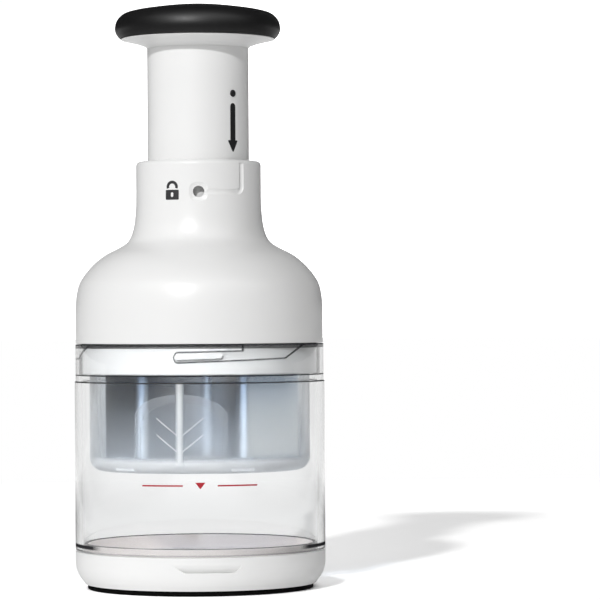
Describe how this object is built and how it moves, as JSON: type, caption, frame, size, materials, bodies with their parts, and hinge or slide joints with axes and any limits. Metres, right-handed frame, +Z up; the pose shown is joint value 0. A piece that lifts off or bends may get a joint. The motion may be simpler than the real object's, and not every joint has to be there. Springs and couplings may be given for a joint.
{
  "type": "food chopper",
  "caption": "Push-down food chopper: clear chamber on a white base, domed white housing, plunger with a black knob, zigzag blade in a milky guard, lock track in the collar.",
  "frame": {"origin": "centre of the resting face, under the foot ring, on the axis of the body", "axes": "+Z up along the plunger, -Y towards the front with the sight hole and the thumb notch, +X to the right as seen from the front"},
  "size_m": [0.096, 0.096, 0.2241],
  "materials": {
    "white_shell": "smooth white moulding with a soft gloss",
    "inner_white": "smooth white inner moulding",
    "soft_grip": "matt black soft-touch overmould",
    "foot_rubber": "matt black rubber",
    "black_mark": "smooth black plastic",
    "clear_wall": "clear, hard, polished plastic",
    "milky_guard": "milky translucent plastic, slightly frosted",
    "grey_pad": "satin grey",
    "grey_drive": "satin grey acetal",
    "blade_steel": "cool brushed stainless strip",
    "wire_steel": "plain spring and screw steel"
  },
  "bodies": {
    "base": {"base_cap": "white_shell", "foot_ring": "foot_rubber", "cutting_pad": "grey_pad"},
    "chamber": {"chopping_chamber": "clear_wall"},
    "housing": {"upper_housing": "white_shell", "bayonet_ring": "inner_white", "drive_bridge": "inner_white", "index_nut": "grey_drive", "nut_spring": "wire_steel", "nut_retainer": "inner_white", "return_spring": "wire_steel", "bridge_screw_1": "wire_steel", "bridge_screw_2": "wire_steel", "bridge_screw_3": "wire_steel"},
    "carriage": {"spring_cap": "grey_drive"},
    "knob": {"plunger_tube": "white_shell", "knob_core": "white_shell", "knob_cap": "soft_grip", "lock_stud": "black_mark", "core_screw_1": "wire_steel", "core_screw_2": "wire_steel", "core_screw_3": "wire_steel"},
    "rotor": {"drive_shaft": "grey_drive", "shaft_clip": "wire_steel", "carrier_screw": "wire_steel", "blade_carrier": "inner_white", "zigzag_blade": "blade_steel"},
    "guard": {"blade_guard": "milky_guard"}
  },
  "joints": [
    {"name": "chamber_lift", "type": "slide", "parent": "base", "child": "chamber", "axis": [0, 0, 1], "range_m": [0, 0.03]},
    {"name": "housing_twist", "type": "hinge", "parent": "chamber", "child": "housing", "pos_m": [0, 0, 0.0934], "axis": [0, 0, 1], "range_deg": [0, 32]},
    {"name": "plunger_slide", "type": "slide", "parent": "housing", "child": "carriage", "axis": [0, 0, -1], "range_m": [0, 0.0376], "stiffness_N_per_m": 300, "springref_m": -0.03, "deforming": ["return_spring"]},
    {"name": "knob_turn", "type": "hinge", "parent": "carriage", "child": "knob", "pos_m": [0, 0, 0.2], "axis": [0, 0, 1], "range_deg": [-42.5, 0]},
    {"name": "blade_spin", "type": "hinge", "parent": "carriage", "child": "rotor", "pos_m": [0, 0, 0.1], "axis": [0, 0, -1], "range_deg": [0, 45.1]},
    {"name": "guard_spin", "type": "hinge", "parent": "housing", "child": "guard", "pos_m": [0, 0, 0.09], "axis": [0, 0, -1], "range_deg": [0, 45.1]}
  ],
  "couplings": [
    {"joint": "blade_spin", "follows": "plunger_slide", "rad_per_m": 20.888},
    {"joint": "guard_spin", "follows": "plunger_slide", "rad_per_m": 20.888}
  ]
}
